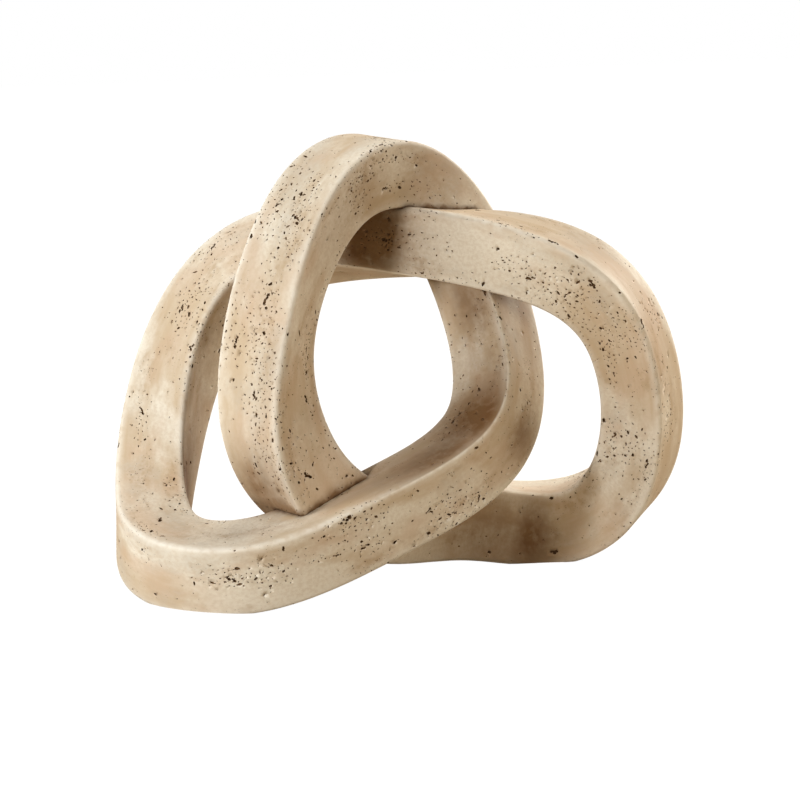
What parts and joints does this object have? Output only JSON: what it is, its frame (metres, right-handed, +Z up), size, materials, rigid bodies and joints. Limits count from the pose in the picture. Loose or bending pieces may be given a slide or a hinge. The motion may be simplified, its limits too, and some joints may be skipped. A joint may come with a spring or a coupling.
{
  "type": "knot sculpture",
  "caption": "Free-standing sculpture: a square strand tied into a closed overhand knot with open windows, in pitted travertine-look cast stone, standing on ground flats with felt pads.",
  "frame": {"origin": "on the floor under the middle of the bounding box", "axes": "+Z up, +X to the right along the width, +Y to the back along the depth, so the bar that crosses the front faces -Y"},
  "size_m": [0.3115, 0.1905, 0.2435],
  "materials": {
    "cast_stone": "matte, pitted like travertine, with brown patina in the pits and creases",
    "dowel_steel": "plain drawn",
    "pad_felt": "pressed felt"
  },
  "bodies": {
    "root": {"arch_casting": "cast_stone", "left_loop_casting": "cast_stone", "right_loop_casting": "cast_stone", "lower_joint_dowel_1": "dowel_steel", "lower_joint_dowel_2": "dowel_steel", "right_joint_dowel_1": "dowel_steel", "right_joint_dowel_2": "dowel_steel", "left_joint_dowel_1": "dowel_steel", "left_joint_dowel_2": "dowel_steel", "left_front_pad": "pad_felt", "left_back_pad": "pad_felt", "right_front_pad": "pad_felt", "right_back_pad": "pad_felt"}
  },
  "joints": []
}
